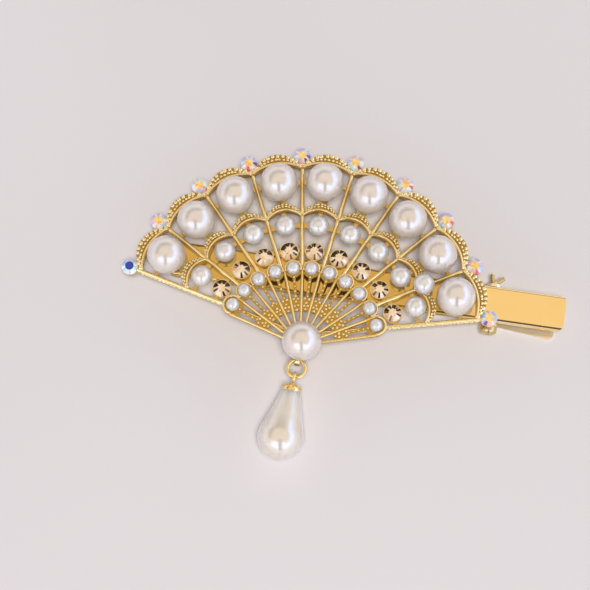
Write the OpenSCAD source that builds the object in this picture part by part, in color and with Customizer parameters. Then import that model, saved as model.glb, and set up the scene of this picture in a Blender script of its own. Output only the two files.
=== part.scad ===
// Fan-shaped pearl barrette on a sprung duckbill clip, with a pearl drop.
// It lies on its back: the clip's rest face is at z = 0, the clip runs along X with its
// squeeze tail at +X, and the fan spreads towards +Y above the clip.

/* [Pearls] */
// Diameter of the large pearls
large_pearl_d = 8; // [7.4:0.1:8.6]
// Height of a large pearl's middle above its flat back
large_pearl_sit = 2; // [1.6:0.1:2.6]
// Diameter of the medium pearls
medium_pearl_d = 4.4; // [4:0.1:4.8]
// Height of a medium pearl's middle above its flat back
medium_pearl_sit = 1.2; // [0.9:0.1:1.5]
// Diameter of the small pearls on the inner fan
small_pearl_d = 2.75; // [2.5:0.05:3]
// Height of a small pearl's middle above its flat back
small_pearl_sit = 0.8; // [0.6:0.05:1]
// Diameter of the pearl over the fan's pivot
pivot_pearl_d = 8; // [7:0.1:9]
// Height of the pivot pearl's middle above its flat back
pivot_pearl_sit = 2; // [1.6:0.1:2.6]
// Sideways place of the pivot pearl on its hub
pivot_pearl_shift = 0.4; // [0:0.1:0.6]

/* [Stones] */
// Diameter of the stones at the rib ends
rim_stone_d = 3.4; // [3:0.1:3.8]
// Diameter of the champagne stones
champagne_stone_d = 3.6; // [3.3:0.05:3.7]
// Height of a stone's girdle band
girdle_h = 0.35; // [0.2:0.05:0.5]
// Height of a stone's crown
crown_h = 0.75; // [0.5:0.05:1]
// Width of a stone's table
table_d = 1.8; // [1.4:0.1:2.2]
// Wall of the cups round the champagne stones
cup_wall = 0.15; // [0.12:0.01:0.22]
// Gap between a champagne stone and its cup
cup_gap = 0.03; // [0.02:0.01:0.06]
// Height of the champagne cup's wall above its floor
cup_wall_h = 0.3; // [0.2:0.05:0.5]

/* [Fan frame] */
// Angle between neighbouring ribs
rib_pitch = 17; // [16.4:0.1:17.4]
// Diameter of the round bar on each rib
rib_d = 0.8; // [0.7:0.05:1]
// How deep a rib's round bar sinks into the base
rib_sink = 0.1; // [0.05:0.01:0.2]
// How far the flat strip under a rib stands out on each side
strip_lip = 0.08; // [0.06:0.01:0.14]
// Thickness of the frame's flat base
base_t = 0.8; // [0.6:0.05:1]
// Diameter of the frame's hub
hub_d = 4.6; // [4:0.1:5.2]
// Gap between a large pearl and the ribs beside it
rib_gap = 0.4; // [0.3:0.05:0.6]
// Gap between the large pearls and the rim
rim_gap = 0.2; // [0.15:0.05:0.4]
// Width of a rim scallop at its middle
rim_band = 2.3; // [2:0.1:2.6]
// How far a rim scallop's inner edge dips from its middle to the ribs
rim_dip = 1; // [0.8:0.1:1.3]
// Height of the rim scallops
rim_h = 1.5; // [1.3:0.1:1.7]
// Width of the smooth rail along a scallop's inner edge
rail_w = 0.6; // [0.4:0.05:0.7]
// Height of that rail above its scallop
rail_h = 0.5; // [0.3:0.05:0.6]
// Gap between a rim stone and the end of its rib
rim_stone_gap = 0.1; // [0.05:0.05:0.2]
// Gap from a rim stone's edge to the rim's inner ends
rim_stone_reach = 1.1; // [0.9:0.1:1.4]
// Gap between the large pearls and the medium scallops
tier_gap = 0.27; // [0.2:0.05:0.4]
// Width of a medium scallop at its middle
tier_band = 1.7; // [1.4:0.1:2]
// How far a medium scallop's inner edge dips to the ribs
tier_dip = 1.2; // [1:0.1:1.4]
// Height of the medium scallops
tier_h = 1.3; // [1.1:0.1:1.5]
// Gap between a medium pearl and its scallop on the middle line
medium_gap = 1.2; // [0.9:0.1:1.4]
// How far the medium row's centre lies below the rib centre
medium_drop = 1.44; // [1.2:0.02:1.6]
// Ring width of the seats under the pearls
seat_band = 1; // [0.7:0.1:1.2]
// How far a seat's edge lies inside the pearl's flat back
seat_inset = 0.5; // [0.3:0.05:0.7]
// Width of the spokes between the large seats and the medium scallops
spoke_w = 2.2; // [1.6:0.1:2.6]
// Width of the seat arms across a sector
arm_w = 0.9; // [0.7:0.1:1.2]
// Gap in plan between the extra pearl on a rib and the two large pearls beside it
extra_gap = 0.83; // [0.7:0.05:1]
// Height of the pad that lifts the extra pearl over its rib
extra_pad_h = 0.35; // [0.3:0.05:0.5]
// Clearance between the ribs' tops and the inner fan
tier_clearance = 0.05; // [0.02:0.01:0.1]

/* [Inner fan] */
// Angle between neighbouring ribs of the inner fan
inner_pitch = 13.47; // [13.2:0.01:13.7]
// How far the inner fan's centre lies below the rib centre
inner_drop = 2.45; // [2.2:0.05:2.7]
// Thickness of the inner fan's flat base
inner_base_t = 0.5; // [0.4:0.05:0.6]
// Diameter of the inner ribs' round bars
inner_rib_d = 0.55; // [0.45:0.05:0.65]
// Gap between a small pearl and its scalloped wall
small_gap = 0.05; // [0.03:0.01:0.08]
// Wall of the scallops round the small pearls
small_wall = 0.36; // [0.3:0.02:0.42]
// Gap between neighbouring small scallops
small_pair_gap = 0.2; // [0.1:0.02:0.3]
// Height of the small scallop walls above the inner base
small_wall_h = 0.7; // [0.5:0.05:0.8]
// How far those walls reach past the pearls' middles towards the hub
wall_back = 0.5; // [0.3:0.05:0.8]
// Width of the bar down the middle of each inner sector
bead_bar_w = 0.6; // [0.5:0.05:0.7]
// Inner radius of the solid web that ties the inner ribs
web_in = 7.2; // [6.6:0.1:7.8]
// Outer radius of that web
web_out = 10; // [9.2:0.1:10.6]
// Thickness of the inner fan's hub
inner_hub_t = 1.1; // [0.9:0.05:1.3]
// Gap between the champagne cups and the inner fan's outline
champagne_gap = 0.37; // [0.3:0.01:0.5]

/* [Clip] */
// Width of the clip's upper plate
clip_w = 7.35; // [7:0.05:7.8]
// Height of the closed clip
clip_h = 5; // [4.8:0.05:5.15]
// Thickness of the clip's sheet
sheet_t = 0.6; // [0.55:0.01:0.65]
// Outer radius of the upper plate's folded edges
bend_r = 0.7; // [0.65:0.05:0.9]
// Depth of the upper plate's edges in front of the hinge
front_flange = 1.8; // [1.5:0.1:2]
// Depth of the upper plate's edges on the tail
tail_flange = 1.6; // [1.4:0.05:1.7]
// Distance from the hinge pin to the clip's tip
front_len = 68.1; // [64:0.1:72]
// Distance from the hinge pin to the end of the tail
tail_len = 15; // [14:0.1:16]
// Distance of the hinge pin from the fan's middle line
hinge_x = 37.7; // [37:0.1:39]
// Distance from the clip's middle line to the fan's rib centre
fan_offset = 12.55; // [12:0.05:13]
// Radius of the clip's rounded tip corners
tip_r = 2.6; // [2:0.1:3]
// How much the lower jaw's tail widens on each side towards its end
tail_flare = 1; // [0.6:0.05:1.2]
// How much shorter the lower jaw's tail is
tail_setback = 1.4; // [1:0.1:1.8]
// Radius of the tail's corners
tail_r = 1.2; // [0.8:0.1:1.6]
// Side clearance between the upper jaw and the lower jaw's ears
ear_clearance = 0.12; // [0.1:0.01:0.2]
// Side clearance between the two jaws
jaw_clearance = 0.25; // [0.2:0.01:0.3]
// Gap between the lower jaw's edges and the upper plate when closed
bite_gap = 0.3; // [0.2:0.05:0.5]
// How much shorter the lower jaw is at the tip
tip_setback = 0.8; // [0.5:0.1:1.2]
// Length of one tooth on the lower jaw
tooth_pitch = 3; // [2.4:0.1:3.6]
// Depth of the teeth
tooth_depth = 0.4; // [0.3:0.05:0.5]
// Length of the toothed stretch of the lower jaw's walls
toothed_len = 36; // [24:1:45]
// Gap between those walls and the ears
wall_ear_gap = 3; // [2:0.1:4]
// Diameter of the hinge pin
pin_d = 1.5; // [1.3:0.05:1.6]
// Height of the hinge pin's axis above the rest face
pin_z = 2.7; // [2.65:0.01:2.75]
// Radial running clearance of the upper jaw on the pin
pin_clearance = 0.06; // [0.03:0.01:0.09]
// Radial clearance of the pin in the lower jaw's ears
ear_fit = 0.02; // [0.01:0.01:0.04]
// Radius of the lower jaw's ears
ear_r = 1.7; // [1.5:0.05:1.8]
// Radius of the upper jaw's lugs
lug_r = 1.6; // [1.4:0.05:1.7]
// Diameter of the pin's rounded head
head_d = 3.5; // [2.8:0.1:3.6]
// Height of the pin's rounded head
head_h = 1.6; // [1.3:0.05:1.8]
// Rounding of the head's edge
head_round = 0.8; // [0.5:0.05:0.85]
// Width of the slot in the pin's head
slot_w = 0.3; // [0.2:0.05:0.4]
// Depth of that slot
slot_depth = 0.9; // [0.5:0.05:1.1]
// Length of the pin's two spread legs
leg_len = 2.2; // [1.6:0.1:2.6]
// Diameter of each leg
leg_d = 0.9; // [0.7:0.05:1]
// Angle of the straighter leg from the pin's axis
straight_leg_angle = 6; // [2:1:20]
// Angle of the leg that is bent over
bent_leg_angle = 52; // [30:1:60]
// Diameter of the spring's wire
spring_wire = 0.5; // [0.4:0.02:0.54]
// Middle radius of the spring's coil
spring_r = 1.25; // [1.2:0.01:1.3]
// Free gap between the spring's turns
turn_gap = 0.45; // [0.42:0.01:0.5]
// Length of the spring's legs
spring_leg = 6; // [4:0.5:8]
// Clearance between the spring's lower leg and the lower jaw
spring_lift = 0.15; // [0.1:0.01:0.2]

/* [Drop] */
// Middle radius of the jump ring
ring_r = 1.8; // [1.7:0.02:2]
// Wire diameter of the jump ring
ring_wire = 0.8; // [0.7:0.02:0.86]
// Distance from the rib centre to the frame's eye
eye_y = 5.2; // [5:0.05:5.4]
// Height of the eye's hole above the frame's back
eye_z = 0.2; // [0.1:0.05:0.3]
// Radius of the eye's hole
eye_hole_r = 0.66; // [0.62:0.01:0.7]
// Wall of the eye round its hole
eye_wall = 0.6; // [0.5:0.05:0.7]
// Thickness of the eye
eye_t = 1; // [0.8:0.05:1.1]
// Middle radius of the drop's wire loop
loop_r = 1; // [0.95:0.01:1.1]
// Wire diameter of the drop's loop
loop_wire = 0.6; // [0.5:0.02:0.64]
// Distance from the loop's middle to the cap's underside
stem_len = 2.1; // [1.9:0.05:2.4]
// Diameter of the drop's cap
cap_d = 4.2; // [3.8:0.1:4.6]
// Height of the drop's cap
cap_h = 0.75; // [0.6:0.05:0.9]
// Diameter of the drop pearl
drop_d = 9.4; // [8.6:0.1:9.8]
// Length of the drop pearl
drop_len = 15.2; // [13:0.1:17]
// Diameter of the drop pearl's narrow end
drop_neck_d = 3.4; // [2.8:0.1:3.6]
// Sideways lean of the resting drop
drop_lean = 4; // [0:0.5:8]

/* [Hidden] */
$fn = 64;
sector_count = 9;
inner_count = 11;
extra_rib = 8;
overlap = 0.01;
cusp_inset = 0.2;
rail_step = 0.05;
wall_step = 0.04;
gold = "#d9b24c";
bright_gold = "#f0c46a";
pearl_white = "#f1ebe4";
champagne = "#f0cfa4";
aurora = "#cfc6ea";
steel = "#c9b277";

// Angles of the ribs and of the sectors' middle lines, from +X
function rib_angle(i) = 90 + rib_pitch * (sector_count / 2 - i);
function sector_angle(i) = 90 + rib_pitch * ((sector_count - 1) / 2 - i);
function inner_angle(i) = 90 + inner_pitch * ((inner_count - 1) / 2 - i);

// Distance along a ray at angle a from the rib centre to a circle of radius r
// whose centre lies a distance drop below the rib centre
function ray_to_circle(a, r, drop) =
    let (b = drop * sin(a)) -b + sqrt(b * b - drop * drop + r * r);

half_pitch = rib_pitch / 2;
hub_r = hub_d / 2;
hub_top_r = hub_r - strip_lip;
rib_start = hub_top_r / 2;
rib_top = base_t + rib_d - rib_sink;
rib_z = clip_h + rib_top - rib_d / 2;

// Radii of the fan's tiers from the rib centre, worked out from the pearls
large_row_r = (large_pearl_d / 2 + rib_d / 2 + rib_gap) / sin(half_pitch);
rim_in = large_row_r + large_pearl_d / 2 + rim_gap;
rim_out = rim_in + rim_band;
rim_end = rim_in - rim_dip;
rim_stone_r = rim_end + rim_stone_reach + rim_stone_d / 2;
rib_end = rim_stone_r - rim_stone_d / 2 - rim_stone_gap;
tier_out = large_row_r - large_pearl_d / 2 - tier_gap;
tier_in = tier_out - tier_band;
tier_end = tier_in - tier_dip;
extra_reach = (large_pearl_d + medium_pearl_d) / 2 + extra_gap;
large_row_side = large_row_r * sin(half_pitch);
extra_pearl_r = large_row_r * cos(half_pitch) - sqrt(extra_reach ^ 2 - large_row_side ^ 2);
medium_circle_r = tier_in - medium_gap - medium_pearl_d / 2 + medium_drop;
function medium_r(a) = ray_to_circle(a, medium_circle_r, medium_drop);

// Where a rib starts: the two side ribs at the hub, the others under the small pearls
function rib_from(i) = i == 0 || i == sector_count
    ? rib_start
    : ray_to_circle(rib_angle(i), small_row_r, inner_drop);

// The inner fan and the champagne row round it
small_seat_r = small_pearl_d / 2 + small_gap;
small_out_r = small_seat_r + small_wall;
small_row_r = (small_out_r + small_pair_gap / 2) / sin(inner_pitch / 2);
inner_out = small_row_r + small_out_r;
end_ring_r = small_row_r * sin(inner_pitch / 2) + inner_rib_d / 2;
inner_rib_len = small_row_r;
inner_rib_start = inner_rib_d / 2 / tan(inner_pitch / 2) + strip_lip / 2;
inner_hub_top_r = norm([inner_rib_start, inner_rib_d / 2]) + strip_lip / 2;
inner_hub_r = inner_hub_top_r + strip_lip;
cup_r = champagne_stone_d / 2 + cup_gap + cup_wall;
champagne_circle_r = inner_out + champagne_gap + cup_r;
function champagne_r(a) = ray_to_circle(a, champagne_circle_r, inner_drop);

// Heights of the stacked pieces
fan_z = clip_h;
seat_z = fan_z + base_t;
inner_z = fan_z + rib_top + tier_clearance;
inner_seat_z = inner_z + inner_base_t;
pivot_seat_z = inner_z + inner_hub_t;
extra_seat_z = fan_z + rib_top + extra_pad_h;
cup_floor_z = seat_z;

// Radius of the flat back of a pearl of diameter d that is cut a distance sit below its middle
function flat_r(d, sit) = sqrt(d * d / 4 - sit * sit);
large_flat_r = flat_r(large_pearl_d, large_pearl_sit);
medium_flat_r = flat_r(medium_pearl_d, medium_pearl_sit);

// Clip measures
lower_w = clip_w - 2 * sheet_t - 2 * jaw_clearance;
ear_in = clip_w / 2 + ear_clearance;
ear_out = ear_in + sheet_t;
tip_x = hinge_x - front_len;
tail_x = hinge_x + tail_len;
lower_edge_z = clip_h - sheet_t - bite_gap;
lower_tip_x = tip_x + tip_setback;
lower_tail_x = tail_x - tail_setback;
flange_start = lower_tip_x + tip_r;
flange_stop = hinge_x - ear_r - wall_ear_gap;
tooth_count = floor(toothed_len / tooth_pitch);
spring_pitch = spring_wire + turn_gap;
spring_turns = 3.5;

// Drop measures, in the frame of the jump ring: the ring's middle is the origin
ring_y = -fan_offset - eye_y - ring_r;
ring_z = fan_z + eye_z;
loop_reach = ring_r + (loop_r - loop_wire / 2 - ring_wire / 2) / 2;
cap_y = loop_reach + stem_len;

// Node names, one list for each kind of repeated piece
large_names = [for (i = [1:sector_count]) str("large_pearl_", i)];
medium_names = [for (i = [1:sector_count + 1]) str("medium_pearl_", i)];
small_names = [for (i = [1:inner_count]) str("small_pearl_", i)];
rim_names = [for (i = [1:sector_count + 1]) str("rim_stone_", i)];
champagne_names = [for (i = [1:sector_count]) str("champagne_stone_", i)];

// Moves its children to the fan's rib centre, and turns and shifts them along a ray
module on_ray(a, r, z) {
    translate([0, -fan_offset, z])
        rotate(a)
            translate([r, 0, 0])
                children();
}

// Moves its children to the inner fan's centre
module at_inner(z) {
    translate([0, -fan_offset - inner_drop, z])
        children();
}

// A pearl with a flat back at z = 0
module pearl(d, sit) {
    color(pearl_white)
        translate([0, 0, sit])
            difference() {
                sphere(d = d);
                translate([-d, -d, -sit - d])
                    cube([2 * d, 2 * d, d]);
            }
}

// A round stone with an eight-sided crown, its flat back at z = 0
module stone(d, tone) {
    color(tone) {
        cylinder(d = d, h = girdle_h);
        translate([0, 0, girdle_h - overlap])
            cylinder(d1 = d, d2 = table_d, h = crown_h, $fn = 8);
    }
}

// Half of a scallop's width: its cusps end inside the ribs on both sides
function cusp_side(end) = end * sin(half_pitch) - rib_d * cusp_inset;

// Radius of the arc through a scallop's two cusps, at radius end, and its apex
function arc_r(apex, end) =
    let (rise = apex - end * cos(half_pitch), side = cusp_side(end))
    (rise * rise + side * side) / (2 * rise);

// Disc whose edge is that arc
module arc_disc(apex, end) {
    r = arc_r(apex, end);
    translate([apex - r, 0])
        circle(r);
}

// Crescent of one scallop along its own sector's middle line
module crescent_2d(inner, outer, end) {
    difference() {
        arc_disc(outer, end);
        arc_disc(inner, end);
    }
}

// Smooth raised rail along a scallop's inner edge
module rail_2d(inner, end) {
    crescent_2d(inner + rail_step, inner + rail_step + rail_w, end + rail_step);
}

// Seat ring with an arm across the sector, under one pearl
module seat_2d(flat, r) {
    edge = flat - seat_inset;
    difference() {
        circle(edge);
        circle(edge - seat_band);
    }
    for (side = [-1, 1])
        translate([-arm_w / 2, side > 0 ? edge - seat_band / 2 : -r * sin(half_pitch)])
            square([arm_w, r * sin(half_pitch) - edge + seat_band / 2]);
}

// Radial bar along a sector's middle line
module spoke_2d(from, to, w) {
    translate([from, -w / 2])
        square([to - from, w]);
}

// Flat base of the fan: strips under the ribs, seats, arms, cups and hub
module fan_base_2d() {
    large_edge = large_flat_r - seat_inset;
    medium_edge = medium_flat_r - seat_inset;
    for (i = [0:sector_count])
        rotate(rib_angle(i)) {
            translate([rib_from(i) - strip_lip, -rib_d / 2 - strip_lip])
                square([rim_stone_r - rib_from(i) + strip_lip, rib_d + 2 * strip_lip]);
            translate([rim_stone_r, 0])
                circle(d = rim_stone_d);
        }
    for (i = [0:sector_count - 1]) {
        a = sector_angle(i);
        rotate(a) {
            crescent_2d(rim_in - strip_lip, rim_out + strip_lip, rim_end - strip_lip);
            crescent_2d(tier_in - strip_lip, tier_out + strip_lip, tier_end - strip_lip);
            translate([large_row_r, 0])
                seat_2d(large_flat_r, large_row_r);
            spoke_2d(large_row_r + large_edge - seat_band / 2, rim_in + rim_band / 2, arm_w);
            spoke_2d(tier_in + tier_band / 2, large_row_r - large_edge + seat_band / 2, spoke_w);
            translate([medium_r(a), 0])
                seat_2d(medium_flat_r, medium_r(a));
            spoke_2d(medium_r(a) + medium_edge - seat_band / 2, tier_in + tier_band / 2, arm_w);
            translate([champagne_r(a), 0]) {
                circle(cup_r);
                square([arm_w, 2 * champagne_r(a) * sin(half_pitch)], center = true);
            }
        }
    }
    circle(hub_r);
    translate([-eye_t / 2, -eye_y])
        square([eye_t, eye_y]);
}

// Wall of a champagne stone's cup
module cup_wall_ring() {
    translate([0, 0, -base_t / 2])
        difference() {
            cylinder(r = cup_r - wall_step, h = base_t / 2 + cup_wall_h);
            translate([0, 0, base_t / 2])
                cylinder(r = cup_r - cup_wall, h = cup_wall_h + overlap);
        }
}

// Eye under the pivot pearl, with its hole along X
module frame_eye() {
    translate([-eye_t / 2, -fan_offset - eye_y, fan_z + eye_z])
        rotate([0, 90, 0])
            cylinder(r = eye_hole_r + eye_wall, h = eye_t);
}

module eye_bore() {
    translate([-eye_t - overlap, -fan_offset - eye_y, fan_z + eye_z])
        rotate([0, 90, 0])
            cylinder(r = eye_hole_r, h = 2 * eye_t + 2 * overlap);
}

// Openwork fan: ribs, two tiers of scallops, seats, stone cups, hub and eye, cast in one
module fan_frame() {
    color(gold)
        difference() {
            union() {
                translate([0, -fan_offset, fan_z])
                    linear_extrude(base_t)
                        fan_base_2d();
                for (i = [0:sector_count])
                    on_ray(rib_angle(i), rib_from(i), rib_z)
                        rotate([0, 90, 0])
                            cylinder(d = rib_d, h = rib_end - rib_from(i));
                for (i = [0:sector_count - 1])
                    on_ray(sector_angle(i), 0, fan_z + base_t / 2) {
                        linear_extrude(rim_h - base_t / 2)
                            crescent_2d(rim_in, rim_out, rim_end);
                        linear_extrude(tier_h - base_t / 2)
                            crescent_2d(tier_in, tier_out, tier_end);
                        linear_extrude(rim_h + rail_h - base_t / 2)
                            rail_2d(rim_in, rim_end);
                        linear_extrude(tier_h + rail_h - base_t / 2)
                            rail_2d(tier_in, tier_end);
                    }
                for (i = [0:sector_count - 1])
                    on_ray(sector_angle(i), champagne_r(sector_angle(i)), seat_z)
                        cup_wall_ring();
                on_ray(rib_angle(extra_rib), extra_pearl_r, seat_z - base_t / 2)
                    cylinder(r = medium_flat_r - seat_inset, h = extra_seat_z - seat_z + base_t / 2);
                on_ray(0, 0, fan_z + base_t / 2)
                    cylinder(r = hub_top_r, h = inner_z - fan_z - base_t / 2);
                frame_eye();
            }
            eye_bore();
        }
}

// Outline of the inner fan's base
module inner_base_2d() {
    for (i = [0:inner_count]) {
        a = inner_angle(i) + inner_pitch / 2;
        rotate(a)
            translate([0, -inner_rib_d / 2 - strip_lip / 2])
                square([inner_rib_len, inner_rib_d + strip_lip]);
    }
    for (i = [0:inner_count - 1])
        rotate(inner_angle(i)) {
            translate([small_row_r, 0])
                circle(small_out_r);
            translate([(web_in + web_out) / 2, -bead_bar_w / 2])
                square([small_row_r - (web_in + web_out) / 2, bead_bar_w]);
        }
    for (i = [0, inner_count - 1])
        rotate(inner_angle(i))
            translate([small_row_r, 0])
                circle(end_ring_r);
    intersection() {
        difference() {
            circle(web_out);
            circle(web_in);
        }
        inner_span_2d();
    }
    circle(inner_hub_r);
}

// Polygon that covers the inner fan's spread from side rib to side rib
module inner_span_2d() {
    far = 2 * web_out;
    polygon(concat(
        [[0, 0]],
        [for (i = [0:inner_count])
            let (a = inner_angle(i) + inner_pitch / 2) far * [cos(a), sin(a)]]));
}

// Wall of a given rise round the outer side of a small pearl, standing on the inner fan's base
module pearl_wall(outer, inner, rise) {
    translate([0, 0, inner_base_t / 2])
        difference() {
            cylinder(r = outer, h = inner_base_t / 2 + rise);
            translate([0, 0, inner_base_t / 2])
                cylinder(r = inner, h = rise + overlap);
            translate([-wall_back - 2 * outer, -2 * outer, inner_base_t / 2])
                cube([2 * outer, 4 * outer, rise + overlap]);
        }
}

// Inner fan laid over the ribs: its own ribs, scalloped pearl seats, web and hub
module inner_fan() {
    color(bright_gold)
        at_inner(inner_z) {
            linear_extrude(inner_base_t)
                inner_base_2d();
            for (i = [0:inner_count])
                rotate(inner_angle(i) + inner_pitch / 2)
                    translate([inner_rib_start, 0, inner_base_t])
                        rotate([0, 90, 0])
                            cylinder(d = inner_rib_d, h = inner_rib_len - inner_rib_start);
            for (i = [1:inner_count - 2])
                rotate(inner_angle(i))
                    translate([small_row_r, 0, 0])
                        pearl_wall(small_out_r - wall_step, small_seat_r, small_wall_h);
            for (i = [0, inner_count - 1])
                rotate(inner_angle(i))
                    translate([small_row_r, 0, 0])
                        pearl_wall(end_ring_r - wall_step, end_ring_r - inner_rib_d, small_wall_h - wall_step);
            translate([0, 0, inner_base_t / 2])
                cylinder(r = inner_hub_top_r, h = inner_hub_t - inner_base_t / 2);
        }
}

module pivot_pearl() {
    translate([pivot_pearl_shift, -fan_offset - inner_drop + pivot_pearl_shift, pivot_seat_z])
        pearl(pivot_pearl_d, pivot_pearl_sit);
}

module large_pearl(i) {
    on_ray(sector_angle(i), large_row_r, seat_z)
        pearl(large_pearl_d, large_pearl_sit);
}

// The last medium pearl sits on a rib instead of in a scallop
module medium_pearl(i) {
    if (i < sector_count)
        on_ray(sector_angle(i), medium_r(sector_angle(i)), seat_z)
            pearl(medium_pearl_d, medium_pearl_sit);
    else
        on_ray(rib_angle(extra_rib), extra_pearl_r, extra_seat_z)
            pearl(medium_pearl_d, medium_pearl_sit);
}

module small_pearl(i) {
    at_inner(inner_seat_z)
        rotate(inner_angle(i))
            translate([small_row_r, 0, 0])
                pearl(small_pearl_d, small_pearl_sit);
}

module rim_stone(i) {
    on_ray(rib_angle(i), rim_stone_r, seat_z)
        stone(rim_stone_d, aurora);
}

module champagne_stone(i) {
    a = sector_angle(i);
    on_ray(a, champagne_r(a), cup_floor_z)
        stone(champagne_stone_d, champagne);
}

// Block along X that is square below and has rounded upper edges
module rounded_top_2d(w, h, r) {
    translate([-w / 2, -h])
        square([w, h - r]);
    translate([-w / 2 + r, -h])
        square([w - 2 * r, h]);
    for (side = [-1, 1])
        translate([side * (w / 2 - r), -r])
            circle(r);
}

// Folded plate seen from its end: a flat top with two turned-down edges
module channel_2d(depth) {
    difference() {
        rounded_top_2d(clip_w, depth, bend_r);
        translate([0, -sheet_t])
            rounded_top_2d(clip_w - 2 * sheet_t, depth, bend_r - sheet_t);
    }
}

// Stretch of folded plate between two places along the clip
module channel(from, to, depth) {
    translate([from, 0, clip_h])
        rotate([90, 0, 90])
            linear_extrude(to - from)
                channel_2d(depth);
}

// Plan of a plate with its own corner radius at each end
module plan_2d(from, to, w, r_from, r_to) {
    translate([from + r_from, -w / 2])
        square([to - from - r_from - r_to, w]);
    for (side = [-1, 1]) {
        translate([from + r_from, side * (w / 2 - r_from)])
            circle(r_from);
        translate([to - r_to, side * (w / 2 - r_to)])
            circle(r_to);
    }
    translate([from, -w / 2 + r_from])
        square([r_from, w - 2 * r_from]);
    translate([to - r_to, -w / 2 + r_to])
        square([r_to, w - 2 * r_to]);
}

// Cylinder across the clip on the hinge axis, between two places along Y
module across(r, from, to) {
    translate([hinge_x, from, pin_z])
        rotate([-90, 0, 0])
            cylinder(r = r, h = to - from);
}

// Upper jaw: the folded plate that carries the fan, with the squeeze tail and two lugs
module clip_upper_jaw() {
    color(bright_gold)
        difference() {
            union() {
                intersection() {
                    union() {
                        channel(tip_x, hinge_x, front_flange);
                        channel(hinge_x - overlap, tail_x, tail_flange);
                    }
                    linear_extrude(2 * clip_h)
                        plan_2d(tip_x, tail_x, clip_w, tip_r, tail_r);
                }
                for (side = [-1, 1]) {
                    face = side > 0 ? clip_w / 2 - sheet_t : -clip_w / 2;
                    across(lug_r, face, face + sheet_t);
                    translate([hinge_x - lug_r, face, pin_z])
                        cube([2 * lug_r, sheet_t, clip_h - bend_r - pin_z]);
                }
            }
            across(pin_d / 2 + pin_clearance, -clip_w, clip_w);
        }
}

// Toothed side wall of the lower jaw, drawn along the clip
module toothed_wall_2d() {
    rise = lower_edge_z - sheet_t;
    teeth_end = flange_start + rise + tooth_count * tooth_pitch;
    polygon(concat(
        [[flange_start, 0], [flange_start + rise, lower_edge_z]],
        [for (i = [0:tooth_count - 1], step = [0, 1])
            let (x = flange_start + rise + i * tooth_pitch)
            step == 0
                ? [x + tooth_pitch / 2, lower_edge_z - tooth_depth]
                : [x + tooth_pitch, lower_edge_z]],
        [[flange_stop - rise, lower_edge_z], [flange_stop, sheet_t], [flange_stop, 0]]));
}

// Lower jaw's plate: narrow in front, wide at the ears, with a tail that flares to its end
module lower_plate_2d() {
    tail_start = hinge_x + ear_r - overlap;
    end_half = ear_in + tail_flare;
    plan_2d(lower_tip_x, tail_start, lower_w, tip_r, overlap);
    translate([hinge_x - ear_r, -ear_out])
        square([2 * ear_r, 2 * ear_out]);
    polygon([
        [tail_start, -ear_in],
        [lower_tail_x - tail_r, -end_half],
        [lower_tail_x - tail_r, end_half],
        [tail_start, ear_in]
    ]);
    for (side = [-1, 1])
        translate([lower_tail_x - tail_r, side * (end_half - tail_r)])
            circle(tail_r);
    translate([lower_tail_x - 2 * tail_r, -end_half + tail_r])
        square([2 * tail_r, 2 * (end_half - tail_r)]);
}

// Lower jaw: flat plate with toothed side walls and two ears outside the upper jaw
module clip_lower_jaw() {
    color(steel)
        difference() {
            union() {
                linear_extrude(sheet_t)
                    lower_plate_2d();
                for (side = [-1, 1])
                    translate([0, side > 0 ? lower_w / 2 : -lower_w / 2 + sheet_t, 0])
                        rotate([90, 0, 0])
                            linear_extrude(sheet_t)
                                toothed_wall_2d();
                for (side = [-1, 1]) {
                    face = side > 0 ? ear_in : -ear_out;
                    across(ear_r, face, face + sheet_t);
                    translate([hinge_x - ear_r, face, sheet_t / 2])
                        cube([2 * ear_r, sheet_t, pin_z - sheet_t / 2]);
                }
            }
            across(pin_d / 2 + ear_fit, -2 * clip_w, 2 * clip_w);
        }
}

// Half section of the pin's head
module head_2d() {
    square([head_d / 2, head_h - head_round]);
    square([head_d / 2 - head_round, head_h]);
    intersection() {
        translate([head_d / 2 - head_round, head_h - head_round])
            circle(head_round);
        square([head_d, head_d]);
    }
}

// Split rivet through the ears: a slotted head on the near side, two spread legs on the far side
module clip_pin() {
    head_y = -ear_out - pin_clearance;
    tail_y = ear_out + pin_clearance;
    leg_shift = (pin_d - leg_d) / 2 - wall_step;
    legs = [[-1, straight_leg_angle], [1, bent_leg_angle]];
    color(bright_gold) {
        across(pin_d / 2, head_y - overlap, tail_y + pin_d / 2);
        difference() {
            translate([hinge_x, head_y, pin_z])
                rotate([90, 0, 0])
                    rotate_extrude()
                        head_2d();
            translate([hinge_x - slot_w / 2, head_y - head_h - overlap, pin_z - head_d])
                cube([slot_w, slot_depth + overlap, 2 * head_d]);
        }
        for (leg = legs)
            translate([hinge_x + leg[0] * leg_shift, tail_y + leg_d / 2 * sin(leg[1]), pin_z])
                rotate([-90, 0, -leg[0] * leg[1]])
                    cylinder(d = leg_d, h = leg_len);
    }
}

// Middle line of the torsion spring: a lower leg, the turns round the pin and an upper leg
rings_per_turn = 8;
spring_rings = rings_per_turn * spring_turns;
spring_half_w = spring_pitch * spring_turns / 2;
lower_leg_z = sheet_t + spring_wire / 2 + spring_lift;
spring_path = concat(
    [[hinge_x - spring_leg, -spring_half_w, lower_leg_z]],
    [[hinge_x - spring_leg / 2, -spring_half_w, (lower_leg_z + pin_z - spring_r) / 2]],
    [for (k = [0:spring_rings])
        let (a = -90 + 360 * k / rings_per_turn)
        [hinge_x + spring_r * cos(a), -spring_half_w + spring_pitch * k / rings_per_turn,
            pin_z + spring_r * sin(a)]],
    [[hinge_x - spring_leg / 2, spring_half_w, pin_z + spring_r]],
    [[hinge_x - spring_leg, spring_half_w, pin_z + spring_r]]);

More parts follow.
